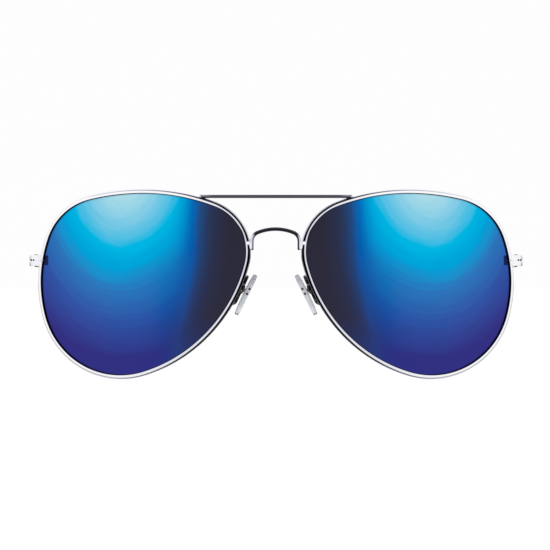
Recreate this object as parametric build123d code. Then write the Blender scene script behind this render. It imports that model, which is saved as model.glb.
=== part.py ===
"""Aviator sunglasses: a wire frame, teardrop lenses, brow bar, adjustable nose pads and folding temples.

Row frame: +Z up, the wearer looks along -Y, the wearer's left is +X.
The origin lies midway across and midway from front to back, on the table that the rims and tips stand on.
Lengths are millimetres, angles degrees. The left half is modelled and mirrored in the plane X = 0.
"""

from build123d import *
from math import asin, atan2, cos, hypot, radians, sin
import os

# ---- driving dimensions ----------------------------------------------------------------------
DEPTH = 147.0  # foremost point of the rims to the end of the tips
FRONT = -DEPTH / 2  # Y of the foremost point
HALF_WIDTH = 70.05  # outer face of end piece and temple
WRAP = 6.0  # how far each lens turns away from straight ahead
BASE_RADIUS = 88.0  # front surface of the lens
BOX_CENTRE_X = 37.6  # centre of the lens
BOX_CENTRE_Z = 26.8
VERTEX_Y = FRONT + 0.482  # where the lens axis meets the front surface

# rim centre line: tangent arcs, counterclockwise from the top as seen from the front of the left lens.
# The radii that are None close the loop.
RIM_START = (0.31, 26.254)
RIM_TURNS = (20.7, 83.0, 59.1, 93.0, 32.3, 59.4, 12.5)
RIM_RADII = (57.7, 14.4, 42.9, 22.7, None, 17.1, None)
RIM_HALF_WIDTH = 0.61
RIM_PROUD = 0.3  # rim in front of the lens surface
RIM_DEPTH = 2.2
RIM_ROUND = 0.45
GROOVE_DEPTH = 0.45
GROOVE_WIDTH = 0.6
RIM_SPLIT = 0.2  # gap between the rim's two ends

LENS_THICKNESS = 1.7
LENS_CLEARANCE = 0.03  # between lens and rim
TONGUE_DEPTH = 0.4

HINGE_Z = 33.55
HINGE_Y = VERTEX_Y + 14.5
HINGE_X = 68.7
BARREL_RADIUS = 0.55
BARREL_GAP = 0.05
HINGE_HALF_HEIGHT = 1.5
MIDDLE_HALF_HEIGHT = 0.5
STRAP_THICKNESS = 0.75  # end piece and temple, seen from above
STRAP_INNER_X = HALF_WIDTH - STRAP_THICKNESS
LEAF_INNER_X = 68.75
SCREW_RADIUS = 0.3
SCREW_HEAD_RADIUS = 0.5
SCREW_HEAD_HEIGHT = 0.25
SCREW_TAIL = 0.35
RUNNING_CLEARANCE = 0.02

END_PIECE_HALF_HEIGHT = 1.56
END_PIECE_FRONT_Y = VERTEX_Y + 8.6
END_PIECE_BACK_Y = VERTEX_Y + 10.2
END_PIECE_START_X = 67.1
END_PIECE_TURN = 1.5  # radius of its outer corner, seen from above
BUTT_Y = VERTEX_Y + 13.6  # where the temple meets the end piece
BUTT_GAP = 0.05

LOCK_INNER_X = 65.9
LOCK_OUTER_X = 68.3
LOCK_BACK_Y = VERTEX_Y + 12.9
LOCK_SCREW_X = 67.25
LOCK_SCREW_Y = VERTEX_Y + 11.65
LOCK_SCREW_RADIUS = 0.55

TEMPLE_BUTT_HALF_HEIGHT = 1.5
TEMPLE_ARM_HALF_HEIGHT = 0.95
TEMPLE_TAPER_START = VERTEX_Y + 19
TEMPLE_TAPER_END = VERTEX_Y + 47
CORE_RADIUS = 0.5
EAR_BEND_RADIUS = 26.0
EAR_BEND_ANGLE = 41.0
TIP_THICKNESS = 2.2
TIP_MOUTH_HALF_HEIGHT = 1.5
TIP_END_HALF_HEIGHT = 2.6
TIP_MOUTH_BEFORE_BEND = 12.0
CORE_SHORT_OF_END = 8.0

BROW_Z = 51.48
BROW_HEIGHT = 0.9
BROW_DEPTH = 1.7
BROW_HALF_LENGTH = 21.6
BROW_END_SLANT = 1.0
BROW_Y = VERTEX_Y + 3.4

BRIDGE_TOP_Z = 42.3
BRIDGE_FOOT_Z = 36.4
BRIDGE_HALF_SPAN = 6.65
BRIDGE_TOP_RADIUS = 13.5
BRIDGE_TOP_HALF_ANGLE = 22.0
BRIDGE_WIRE_RADIUS = 0.52
BRIDGE_Y = VERTEX_Y + 2.7

PAD_CENTRE = (8.5, VERTEX_Y + 10, 23.75)
PAD_TILT = 25.0  # pad leans in towards the top
PAD_SPLAY = 2.0  # pad opens towards the back
PAD_LENGTH = 12.6
PAD_DEPTH = 7.2
PAD_THICKNESS = 1.5
PAD_ROUND = 0.7
PIVOT_OUT = 1.8  # rocking axis, outward from the pad's middle plane
PIVOT_UP = 1.0
TAB_HALF_THICKNESS = 0.58
TAB_RADIUS = 0.55
CHEEK_INNER = 0.65
CHEEK_OUTER = 1.35
BOX_HALF_LENGTH = 1.2
PAD_SCREW_RADIUS = 0.35
ARM_WIRE_RADIUS = 0.42
ARM_PLANE_OUT = 1.95
ARM_FRONT_LEG = -5.6
ARM_BACK_LEG = -1.1
ARM_TOP = 4.9
ARM_FOOT = -3.2

MIRROR = Plane.YZ


# ---- helpers ---------------------------------------------------------------------------------
def block(low, high):
    """A box from its lowest to its highest corner."""
    size = [b - a for a, b in zip(low, high)]
    middle = [(a + b) / 2 for a, b in zip(low, high)]
    return Pos(*middle) * Box(*size)


def rod(centre, radius, half_length, axis=(0, 0, 1)):
    """A cylinder about its centre, along axis."""
    return Plane(origin=centre, z_dir=axis) * Cylinder(radius, 2 * half_length)


def tube_along(path, radius):
    """A round wire along a path."""
    section = Plane(origin=path @ 0, z_dir=path % 0) * Circle(radius)
    return sweep(section, path=path)


def slotted_screw(foot, head, radius, head_radius, head_height, slot_width):
    """A screw whose shank runs from foot to head, with a slotted cheese head beyond head."""
    foot, head = Vector(*foot), Vector(*head)
    along = (head - foot).normalized()
    length = (head - foot).length
    frame = Plane(origin=foot, z_dir=along)
    shank = Pos(0, 0, length / 2) * Cylinder(radius, length)
    cap = Pos(0, 0, length + head_height / 2) * Cylinder(head_radius, head_height)
    cap = chamfer(cap.edges().group_by(Axis.Z)[-1], head_height * 0.3)
    slot_depth = head_height * 0.55
    slot = Pos(0, 0, length + head_height) * Box(3 * head_radius, slot_width, 2 * slot_depth)
    return frame * (shank + cap - slot)


# ---- the lens frame: x across towards the temple, y up, z forwards -----------------------------
def lens_frame():
    wrap = radians(WRAP)
    return Plane(
        origin=(BOX_CENTRE_X, VERTEX_Y, BOX_CENTRE_Z),
        x_dir=(cos(wrap), sin(wrap), 0),
        z_dir=(sin(wrap), -cos(wrap), 0),
    )


def chord(heading, turn):
    """Travel per unit of radius along an arc that turns left from a heading."""
    end = heading + turn
    return (sin(end) - sin(heading), cos(heading) - cos(end))


def rim_arcs():
    """Centre, radius, start angle and turn of each arc in the rim's centre line."""
    turns = [radians(turn) for turn in RIM_TURNS]
    headings = [radians(180) + sum(turns[:i]) for i in range(len(turns))]
    chords = [chord(h, t) for h, t in zip(headings, turns)]
    known = [(r, c) for r, c in zip(RIM_RADII, chords) if r is not None]
    (ax, ay), (bx, by) = [c for r, c in zip(RIM_RADII, chords) if r is None]
    gap_x = -sum(r * c[0] for r, c in known)
    gap_y = -sum(r * c[1] for r, c in known)
    determinant = ax * by - bx * ay
    closing = iter([(gap_x * by - bx * gap_y) / determinant, (ax * gap_y - gap_x * ay) / determinant])
    x, y = RIM_START
    arcs = []
    for radius, heading, turn, step in zip(RIM_RADII, headings, turns, chords):
        radius = next(closing) if radius is None else radius
        centre = (x - radius * sin(heading), y + radius * cos(heading))
        arcs.append((centre, radius, heading * 180 / radians(180) - 90, turn * 180 / radians(180)))
        x, y = x + radius * step[0], y + radius * step[1]
    return arcs


ARCS = rim_arcs()


def outline(offset):
    """The face inside the rim's centre line moved outward by offset."""
    edges = [CenterArc(centre, radius + offset, start, turn) for centre, radius, start, turn in ARCS]
    return make_face(Wire(edges))


def offset_of(point):
    """How far outside the rim's centre line a point of the lens frame lies."""
    best = None
    for centre, radius, start, turn in ARCS:
        angle = atan2(point.Y - centre[1], point.X - centre[0]) * 180 / radians(180)
        past = (angle - start - turn / 2 + 180) % 360 - 180
        if abs(past) < turn / 2 + 0.5:
            found = hypot(point.X - centre[0], point.Y - centre[1]) - radius
            best = found if best is None or abs(found) < abs(best) else best
    return best


def ball(depth):
    """The sphere that lies depth behind the lens's front surface, its poles above and below."""
    return Pos(0, 0, -BASE_RADIUS) * Rot(90, 0, 0) * Sphere(BASE_RADIUS - depth)


def curved_plate(face, front, back):
    """A face carried back through the lens frame, between two depths behind the front surface."""
    prism = Pos(0, 0, -14) * extrude(face, 18)
    return prism & ball(front) - ball(back)


def make_rim():
    """The grooved eyewire, rounded on its outer edges and split at the closing block."""
    front, back = -RIM_PROUD, RIM_DEPTH - RIM_PROUD
    ring = curved_plate(outline(RIM_HALF_WIDTH), front, back)
    ring -= curved_plate(outline(-RIM_HALF_WIDTH), front - 1, back + 1)
    outer = [e for e in ring.edges() if abs(offset_of(e @ 0.5) - RIM_HALF_WIDTH) < 0.01]
    inner = [e for e in ring.edges() if abs(offset_of(e @ 0.5) + RIM_HALF_WIDTH) < 0.01]
    ring = fillet([e for e in outer if across_wall(e)], RIM_ROUND)
    inner = [e for e in ring.edges() if is_inner(e) and across_wall(e)]
    ring = fillet(inner, RIM_ROUND / 2)
    middle = LENS_THICKNESS / 2
    groove = curved_plate(
        outline(GROOVE_DEPTH - RIM_HALF_WIDTH),
        middle - GROOVE_WIDTH / 2,
        middle + GROOVE_WIDTH / 2,
    )
    ring -= groove
    split_y = HINGE_Z - BOX_CENTRE_Z
    ring -= block((20, split_y - RIM_SPLIT / 2, -20), (40, split_y + RIM_SPLIT / 2, 5))
    return lens_frame() * ring


def across_wall(edge):
    """True for an edge that runs along the rim, and not for one between two arcs across its wall."""
    return edge.length > RIM_DEPTH + 0.5


def is_inner(edge):
    found = offset_of(edge @ 0.5)
    return found is not None and abs(found + RIM_HALF_WIDTH) < 0.01


def make_lens():
    """The lens with the tongue that sits in the rim's groove."""
    middle = LENS_THICKNESS / 2
    half = GROOVE_WIDTH / 2 - LENS_CLEARANCE
    plate = curved_plate(outline(-RIM_HALF_WIDTH - LENS_CLEARANCE), 0, LENS_THICKNESS)
    tongue = curved_plate(outline(TONGUE_DEPTH - RIM_HALF_WIDTH), middle - half, middle + half)
    return lens_frame() * (plate + tongue)


def rim_envelope():
    """Everything inside the rim's outer wall, for cutting the pieces brazed to it."""
    return lens_frame() * curved_plate(outline(RIM_HALF_WIDTH), -RIM_PROUD, RIM_DEPTH - RIM_PROUD)


# ---- front: brow bar and bridge ----------------------------------------------------------------
def make_brow_bar(rims):
    """A flat bar with slanted ends, on two feet that reach down to the rims."""
    low, high = BROW_Z - BROW_HEIGHT / 2, BROW_Z + BROW_HEIGHT / 2
    ends = BROW_HALF_LENGTH - BROW_END_SLANT
    side = Polyline(
        (-BROW_HALF_LENGTH, high), (-ends, low), (ends, low), (BROW_HALF_LENGTH, high), close=True
    )
    bar = extrude(Plane.XZ.offset(-BROW_Y - BROW_DEPTH / 2) * make_face(side), BROW_DEPTH)
    bar = fillet(bar.edges().filter_by(Axis.X), 0.28)
    for sign in (-1, 1):
        foot = (sign * (ends - 0.9), BROW_Y, low)
        bar += rod(foot, 0.6, 0.8, axis=(-0.45 * sign, 0, 1)) & block((-30, -200, 40), (30, 200, BROW_Z))
    return bar - rims


def make_bridge(rims):
    """The arched lower bridge: a wire whose legs run down the rims' nasal sides."""
    half_angle = radians(BRIDGE_TOP_HALF_ANGLE)
    corner = (BRIDGE_HALF_SPAN - BRIDGE_TOP_RADIUS * sin(half_angle)) / (1 - sin(half_angle))
    top_centre = BRIDGE_TOP_Z - BRIDGE_TOP_RADIUS
    corner_x = (BRIDGE_TOP_RADIUS - corner) * sin(half_angle)
    corner_z = top_centre + (BRIDGE_TOP_RADIUS - corner) * cos(half_angle)
    sweep_angle = 90 - BRIDGE_TOP_HALF_ANGLE
    path = Wire(
        [
            Line((-BRIDGE_HALF_SPAN, BRIDGE_FOOT_Z), (-BRIDGE_HALF_SPAN, corner_z)),
            CenterArc((-corner_x, corner_z), corner, 180, -sweep_angle),
            CenterArc(
                (0, top_centre), BRIDGE_TOP_RADIUS, 90 + BRIDGE_TOP_HALF_ANGLE, -2 * BRIDGE_TOP_HALF_ANGLE
            ),
            CenterArc((corner_x, corner_z), corner, 90 - BRIDGE_TOP_HALF_ANGLE, -sweep_angle),
            Line((BRIDGE_HALF_SPAN, corner_z), (BRIDGE_HALF_SPAN, BRIDGE_FOOT_Z)),
        ]
    )
    path = Plane.XZ.offset(-BRIDGE_Y) * path
    wire = tube_along(path, BRIDGE_WIRE_RADIUS)
    for sign in (-1, 1):
        braze = (sign * (BRIDGE_HALF_SPAN + 0.5), BRIDGE_Y, BRIDGE_FOOT_Z + 1.5)
        wire += rod(braze, 0.45, 0.6, axis=(1, 0, 0))
    return wire - rims


# ---- closing block, end piece and hinge ----------------------------------------------------------
def make_rim_lock(rim_shape, upper):
    """One half of the closing block, brazed behind one end of the rim."""
    near, far = RIM_SPLIT / 2, END_PIECE_HALF_HEIGHT - 0.1
    low, high = (near, far) if upper else (-far, -near)
    half = block(
        (LOCK_INNER_X, END_PIECE_BACK_Y, HINGE_Z + low), (LOCK_OUTER_X, LOCK_BACK_Y, HINGE_Z + high)
    )
    half = fillet(half.edges().filter_by(Axis.Z).sort_by(Axis.Y)[-2:], 0.3)
    hole_radius = LOCK_SCREW_RADIUS + RUNNING_CLEARANCE
    half -= rod((LOCK_SCREW_X, LOCK_SCREW_Y, HINGE_Z), hole_radius, 3)
    return half - rim_shape


def make_lock_screw():
    """The screw that closes the rim round the lens, its head under the lower half."""
    half = END_PIECE_HALF_HEIGHT - 0.1
    return slotted_screw(
        foot=(LOCK_SCREW_X, LOCK_SCREW_Y, HINGE_Z + half + 0.15),
        head=(LOCK_SCREW_X, LOCK_SCREW_Y, HINGE_Z - half),
        radius=LOCK_SCREW_RADIUS,
        head_radius=0.95,
        head_height=0.5,
        slot_width=0.25,
    )


def end_piece_path():
    """The outer face of the end piece seen from above: out along the front, round and back."""
    corner = (HALF_WIDTH - END_PIECE_TURN, END_PIECE_FRONT_Y + END_PIECE_TURN)
    return [
        Line((END_PIECE_START_X, END_PIECE_FRONT_Y), (corner[0], END_PIECE_FRONT_Y)),
        CenterArc(corner, END_PIECE_TURN, -90, 90),
        Line((HALF_WIDTH, corner[1]), (HALF_WIDTH, BUTT_Y - BUTT_GAP)),
    ]


def make_end_piece(rim_shape):
    """The lug that carries the hinge, wrapped round from the rim, with a groove round its outer face."""
    path = end_piece_path()
    plan = Wire(
        path
        + [
            Line((HALF_WIDTH, BUTT_Y - BUTT_GAP), (STRAP_INNER_X, BUTT_Y - BUTT_GAP)),
            Line((STRAP_INNER_X, BUTT_Y - BUTT_GAP), (STRAP_INNER_X, END_PIECE_BACK_Y)),
            Line((STRAP_INNER_X, END_PIECE_BACK_Y), (END_PIECE_START_X, END_PIECE_BACK_Y)),
            Line((END_PIECE_START_X, END_PIECE_BACK_Y), (END_PIECE_START_X, END_PIECE_FRONT_Y)),
        ]
    )
    bottom = HINGE_Z - END_PIECE_HALF_HEIGHT
    lug = Pos(0, 0, bottom) * extrude(make_face(plan), 2 * END_PIECE_HALF_HEIGHT)
    outer_rims = [
        e for e in lug.edges() if abs(abs(e.center().Z - HINGE_Z) - END_PIECE_HALF_HEIGHT) < 0.01
    ]
    outer_rims = [e for e in outer_rims if on_outer_path(e @ 0.5)]
    lug = fillet(outer_rims, 0.35)
    groove_path = Pos(0, 0, HINGE_Z) * Wire(path)
    lug -= tube_along(groove_path, 0.34)
    return lug - rim_shape


def on_outer_path(point):
    """True for a point on the end piece's outer face."""
    corner_x, corner_y = HALF_WIDTH - END_PIECE_TURN, END_PIECE_FRONT_Y + END_PIECE_TURN
    on_front = abs(point.Y - END_PIECE_FRONT_Y) < 0.01
    on_side = abs(point.X - HALF_WIDTH) < 0.01
    off_corner = abs(hypot(point.X - corner_x, point.Y - corner_y) - END_PIECE_TURN)
    return on_front or on_side or (off_corner < 0.01 and point.X > corner_x)


def barrel(low, high):
    return rod((HINGE_X, HINGE_Y, HINGE_Z + (low + high) / 2), BARREL_RADIUS, (high - low) / 2)


def hinge_bore():
    return rod((HINGE_X, HINGE_Y, HINGE_Z), SCREW_RADIUS + RUNNING_CLEARANCE, 4)


def make_front_leaf():
    """The hinge leaf brazed inside the end piece, with the top and bottom barrels."""
    near = MIDDLE_HALF_HEIGHT + BARREL_GAP
    plate_half = END_PIECE_HALF_HEIGHT - 0.15
    plate = block(
        (LEAF_INNER_X, END_PIECE_BACK_Y + 0.3, HINGE_Z - plate_half),
        (STRAP_INNER_X, BUTT_Y - 0.1, HINGE_Z + plate_half),
    )
    leaf = plate
    for low, high in ((near, HINGE_HALF_HEIGHT), (-HINGE_HALF_HEIGHT, -near)):
        edge = min(abs(low), abs(high)), min(plate_half, max(abs(low), abs(high)))
        sign = 1 if high > 0 else -1
        z = sorted((HINGE_Z + sign * edge[0], HINGE_Z + sign * edge[1]))
        leaf += block((LEAF_INNER_X, BUTT_Y - 0.2, z[0]), (HINGE_X + BARREL_RADIUS, HINGE_Y, z[1]))
        leaf += barrel(low, high)
    return leaf - hinge_bore()


def make_temple_leaf():
    """The hinge leaf brazed inside the temple, with the middle barrel."""
    start = HINGE_Y + BARREL_RADIUS + 0.1
    plate = block(
        (LEAF_INNER_X, start, HINGE_Z - 1.3), (STRAP_INNER_X, start + 4.6, HINGE_Z + 1.3)
    )
    plate = fillet(plate.edges().filter_by(Axis.X).sort_by(Axis.Y)[-2:], 0.9)
    neck = block(
        (LEAF_INNER_X, HINGE_Y, HINGE_Z - MIDDLE_HALF_HEIGHT),
        (HINGE_X + BARREL_RADIUS, start + 0.2, HINGE_Z + MIDDLE_HALF_HEIGHT),
    )
    return plate + neck + barrel(-MIDDLE_HALF_HEIGHT, MIDDLE_HALF_HEIGHT) - hinge_bore()


def make_hinge_screw():
    """The hinge's axle: a screw from above, its end standing out below."""
    return slotted_screw(
        foot=(HINGE_X, HINGE_Y, HINGE_Z - HINGE_HALF_HEIGHT - SCREW_TAIL),
        head=(HINGE_X, HINGE_Y, HINGE_Z + HINGE_HALF_HEIGHT),
        radius=SCREW_RADIUS,
        head_radius=SCREW_HEAD_RADIUS,
        head_height=SCREW_HEAD_HEIGHT,
        slot_width=0.16,
    )


# ---- temple and tip ------------------------------------------------------------------------------
def temple_route():
    """Start of the bend, end of the bend and end of the tip, as (Y, Z) of the centre line."""
    angle = radians(EAR_BEND_ANGLE)
    # the lowest point of the rounded end stands on the table, and its hindmost point ends the depth
    end_z = TIP_END_HALF_HEIGHT
    end_y = DEPTH / 2 - TIP_END_HALF_HEIGHT
    bend_fall = EAR_BEND_RADIUS * (1 - cos(angle))
    straight = (HINGE_Z - bend_fall - end_z) / sin(angle)
    after = (end_y - straight * cos(angle), end_z + straight * sin(angle))
    before = (after[0] - EAR_BEND_RADIUS * sin(angle), HINGE_Z)
    return before, after, (end_y, end_z)


def temple_point(along, across, start, angle):
    """A point beside a straight stretch that falls at angle from start."""
    a = radians(angle)
    y = start[0] + along * cos(a) + across * sin(a)
    z = start[1] - along * sin(a) + across * cos(a)
    return (y, z)


SIDE = Plane(origin=(0, 0, 0), x_dir=(0, 1, 0), z_dir=(1, 0, 0))
CENTRE_X = (HALF_WIDTH + STRAP_INNER_X) / 2


def make_temple():
    """The metal arm: a strap that tapers back from the hinge, and the round core inside the tip."""
    before, after, end = temple_route()
    mouth = before[0] - TIP_MOUTH_BEFORE_BEND
    butt, arm = TEMPLE_BUTT_HALF_HEIGHT, TEMPLE_ARM_HALF_HEIGHT
    upper = [
        (BUTT_Y, HINGE_Z + butt),
        (TEMPLE_TAPER_START, HINGE_Z + butt),
        (TEMPLE_TAPER_END, HINGE_Z + arm),
        (mouth, HINGE_Z + arm),
    ]
    lower = [(y, 2 * HINGE_Z - z) for y, z in reversed(upper)]
    face = make_face(Polyline(*upper, *lower, close=True))
    strap = extrude(SIDE.offset(STRAP_INNER_X) * face, STRAP_THICKNESS)
    long_edges = [
        e for e in strap.edges()
        if abs(abs(e.center().X - CENTRE_X) - STRAP_THICKNESS / 2) < 0.01
        and abs(e.center().Y - BUTT_Y) > 0.01 and abs(e.center().Y - mouth) > 0.01
    ]
    strap = fillet(long_edges, 0.3)
    return strap + core_rod(CORE_RADIUS)


def core_rod(radius):
    """The round core from the tip's mouth to a little short of its end."""
    before, after, end = temple_route()
    mouth = (before[0] - TIP_MOUTH_BEFORE_BEND, HINGE_Z)
    bend_centre = (before[0], HINGE_Z - EAR_BEND_RADIUS)
    straight = hypot(end[0] - after[0], end[1] - after[1]) - CORE_SHORT_OF_END
    stop = temple_point(straight, 0, after, EAR_BEND_ANGLE)
    path = Wire(
        [
            Line((mouth[0] - 1, mouth[1]), before),
            CenterArc(bend_centre, EAR_BEND_RADIUS, 90, -EAR_BEND_ANGLE),
            Line(after, stop),
        ]
    )
    return tube_along(SIDE.offset(CENTRE_X) * path, radius)


def make_tip():
    """The plastic sleeve over the temple's end, widening to a round end behind the ear."""
    before, after, end = temple_route()
    mouth = before[0] - TIP_MOUTH_BEFORE_BEND
    small, large = TIP_MOUTH_HALF_HEIGHT, TIP_END_HALF_HEIGHT
    bend_centre = (before[0], HINGE_Z - EAR_BEND_RADIUS)
    length = hypot(end[0] - after[0], end[1] - after[1])
    lean = asin((large - small) / length)
    lean_degrees = lean * 180 / radians(180)
    upper_end = temple_point(large * sin(lean), large * cos(lean), end, EAR_BEND_ANGLE)
    lower_end = temple_point(large * sin(lean), -large * cos(lean), end, EAR_BEND_ANGLE)
    tail = temple_point(large, 0, end, EAR_BEND_ANGLE)
    upper_bend = temple_point(0, small, after, EAR_BEND_ANGLE)
    lower_bend = temple_point(0, -small, after, EAR_BEND_ANGLE)
    shape = Wire(
        [
            Line((mouth, HINGE_Z + small), (before[0], HINGE_Z + small)),
            CenterArc(bend_centre, EAR_BEND_RADIUS + small, 90, -EAR_BEND_ANGLE),
            Line(upper_bend, upper_end),
            ThreePointArc(upper_end, tail, lower_end),
            Line(lower_end, lower_bend),
            CenterArc(bend_centre, EAR_BEND_RADIUS - small, 90 - EAR_BEND_ANGLE, EAR_BEND_ANGLE),
            Line((before[0], HINGE_Z - small), (mouth, HINGE_Z - small)),
            Line((mouth, HINGE_Z - small), (mouth, HINGE_Z + small)),
        ]
    )
    sleeve = extrude(SIDE.offset(CENTRE_X - TIP_THICKNESS / 2) * make_face(shape), TIP_THICKNESS)
    rounded = [e for e in sleeve.edges() if abs(abs(e.center().X - CENTRE_X) - TIP_THICKNESS / 2) < 0.01]
    sleeve = fillet(rounded, 0.8)
    return sleeve - core_rod(CORE_RADIUS)


# ---- nose pads: x out from the pad, y back, z up along the pad ---------------------------------------
def pad_frame():
    return Location(PAD_CENTRE) * Rot(0, -PAD_TILT, 0) * Rot(0, 0, -PAD_SPLAY)


def make_pad_core():
    """The metal core moulded into the pad, and the drilled tab that stands in the box."""
    plate = block((-0.35, -2.2, PIVOT_UP - 1.05), (0.15, 2.2, PIVOT_UP + 1.05))
    plate = fillet(plate.edges().filter_by(Axis.X), 0.5)
    tab = block(
        (0.1, -TAB_HALF_THICKNESS, PIVOT_UP - TAB_RADIUS),
        (PIVOT_OUT, TAB_HALF_THICKNESS, PIVOT_UP + TAB_RADIUS),
    )
    pivot = (PIVOT_OUT, 0, PIVOT_UP)
    tab += rod(pivot, TAB_RADIUS, TAB_HALF_THICKNESS, axis=(0, 1, 0))
    hole = rod(pivot, PAD_SCREW_RADIUS + RUNNING_CLEARANCE, 2, axis=(0, 1, 0))
    return plate + tab - hole


def make_pad(core):
    """The clear pad: a stadium seen from the nose, rounded all round its edge."""
    stadium = SlotOverall(PAD_LENGTH, PAD_DEPTH, rotation=90)
    face = Plane(origin=(0, 0, 0), x_dir=(0, 1, 0), z_dir=(1, 0, 0)) * stadium
    pad = Pos(-PAD_THICKNESS / 2, 0, 0) * extrude(face, PAD_THICKNESS)
    pad = fillet([e for e in pad.edges() if abs(abs(e.center().X) - PAD_THICKNESS / 2) < 0.01], PAD_ROUND)
    return pad - core


def make_pad_box():
    """The open box at the end of the pad arm: two cheeks and a back."""
    low, high = PIVOT_UP - BOX_HALF_LENGTH, PIVOT_UP + BOX_HALF_LENGTH
    inside, outside = 1.15, 2.95
    box = block((inside, -CHEEK_OUTER, low), (outside, CHEEK_OUTER, high))
    box = fillet(box.edges().filter_by(Axis.Z).sort_by(Axis.X)[-2:], 0.3)
    box -= block((inside - 1, -CHEEK_INNER, low - 1), (outside - 0.45, CHEEK_INNER, high + 1))
    hole = rod((PIVOT_OUT, 0, PIVOT_UP), PAD_SCREW_RADIUS + RUNNING_CLEARANCE, 3, axis=(0, 1, 0))
    return box - hole


def make_pad_screw():
    return slotted_screw(
        foot=(PIVOT_OUT, -CHEEK_OUTER - 0.1, PIVOT_UP),
        head=(PIVOT_OUT, CHEEK_OUTER, PIVOT_UP),
        radius=PAD_SCREW_RADIUS,
        head_radius=0.6,
        head_height=0.35,
        slot_width=0.18,
    )


def make_pad_arm(rim_shape, box):
    """The bent wire from behind the rim, up, over and down to the box."""
    frame = pad_frame()
    local = [
        (ARM_PLANE_OUT, ARM_FRONT_LEG, ARM_FOOT),
        (ARM_PLANE_OUT, ARM_FRONT_LEG, ARM_TOP),
        (ARM_PLANE_OUT, ARM_BACK_LEG, ARM_TOP),
        (ARM_PLANE_OUT, ARM_BACK_LEG, PIVOT_UP + BOX_HALF_LENGTH - 0.1),
    ]
    points = [(frame * Pos(*p)).position for p in local]
    foot = points[0]
    start = Vector(foot.X + 1.0, VERTEX_Y + 1.6, foot.Z - 0.3)
    path = FilletPolyline(start, *points, radius=[0.9, 2.1, 2.1])
    wire = tube_along(path, ARM_WIRE_RADIUS)
    return wire - rim_shape - frame * box


# ---- assembly ----------------------------------------------------------------------------------------
def build_left():
    """Every piece of the left half, by name, in the row frame."""
    rim = make_rim()
    envelope = rim_envelope()
    frame = pad_frame()
    core, box = make_pad_core(), make_pad_box()
    return {
        "rim": rim,
        "lens": make_lens(),
        "rim_lock_upper": make_rim_lock(envelope, True),
        "rim_lock_lower": make_rim_lock(envelope, False),
        "rim_lock_screw": make_lock_screw(),
        "end_piece": make_end_piece(envelope),
        "hinge_front_leaf": make_front_leaf(),
        "hinge_temple_leaf": make_temple_leaf(),
        "hinge_screw": make_hinge_screw(),
        "temple": make_temple(),
        "temple_tip": make_tip(),
        "pad_arm": make_pad_arm(envelope, box),
        "pad_box": frame * box,
        "pad_screw": frame * make_pad_screw(),
        "pad_core": frame * core,
        "nose_pad": frame * make_pad(core),
    }


def main():
    os.makedirs("parts", exist_ok=True)
    pieces = {}
    for name, shape in build_left().items():
        pieces[name + "_left"] = shape
        pieces[name + "_right"] = mirror(shape, about=MIRROR)
    envelope = rim_envelope()
    rims = envelope + mirror(envelope, about=MIRROR)
    pieces["brow_bar"] = make_brow_bar(rims)
    pieces["bridge"] = make_bridge(rims)
    for name, shape in pieces.items():
        export_step(shape, f"parts/{name}.step")
    whole = Compound([solid for shape in pieces.values() for solid in shape.solids()]).bounding_box()
    print("bounds", whole.min, whole.max)


main()
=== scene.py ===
from math import atan2, cos, degrees, hypot, pi, radians, sin, sqrt

import bmesh
import bpy
from mathutils import Matrix, Vector


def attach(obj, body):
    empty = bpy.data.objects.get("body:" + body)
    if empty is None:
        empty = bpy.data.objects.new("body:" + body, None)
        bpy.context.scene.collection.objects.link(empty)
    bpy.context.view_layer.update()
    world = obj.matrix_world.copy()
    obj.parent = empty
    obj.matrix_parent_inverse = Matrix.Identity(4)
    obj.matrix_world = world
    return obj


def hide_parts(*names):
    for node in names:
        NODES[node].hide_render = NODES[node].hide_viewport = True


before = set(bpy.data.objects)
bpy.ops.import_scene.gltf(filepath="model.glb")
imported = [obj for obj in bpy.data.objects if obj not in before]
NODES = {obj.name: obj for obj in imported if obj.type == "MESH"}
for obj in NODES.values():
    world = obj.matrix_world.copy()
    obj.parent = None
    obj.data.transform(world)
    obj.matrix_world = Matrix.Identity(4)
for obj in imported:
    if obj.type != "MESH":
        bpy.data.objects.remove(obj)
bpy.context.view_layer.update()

MM = 0.001
SIDES = (("left", 1), ("right", -1))

# ---- the object's dimensions, in millimetres -----------------------------------------------------
WRAP = radians(6.0)
BASE_RADIUS = 88.0
LENS_ORIGIN = Vector((37.6, -73.018, 26.8))
VERTEX_Y = LENS_ORIGIN.y
RIM_START = (0.31, 26.254)
RIM_TURNS = (20.7, 83.0, 59.1, 93.0, 32.3, 59.4, 12.5)
RIM_RADII = (57.7, 14.4, 42.9, 22.7, None, 17.1, None)
RIM_HALF = 0.61
RIM_PROUD = 0.3
LENS_THICKNESS = 1.7
HALF_WIDTH = 70.05
HINGE_Z = 33.55
BUTT_Y = VERTEX_Y + 13.6
STRAP_THICKNESS = 0.75
STRAP_X = HALF_WIDTH - STRAP_THICKNESS / 2
BROW_Z = 51.48
BROW_Y = VERTEX_Y + 3.4
BRIDGE_Y = VERTEX_Y + 2.7
PAD_CENTRE = Vector((8.5, VERTEX_Y + 10.0, 23.75))
PAD_TILT = radians(26.0)
PAD_SPLAY = radians(1.0)


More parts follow.
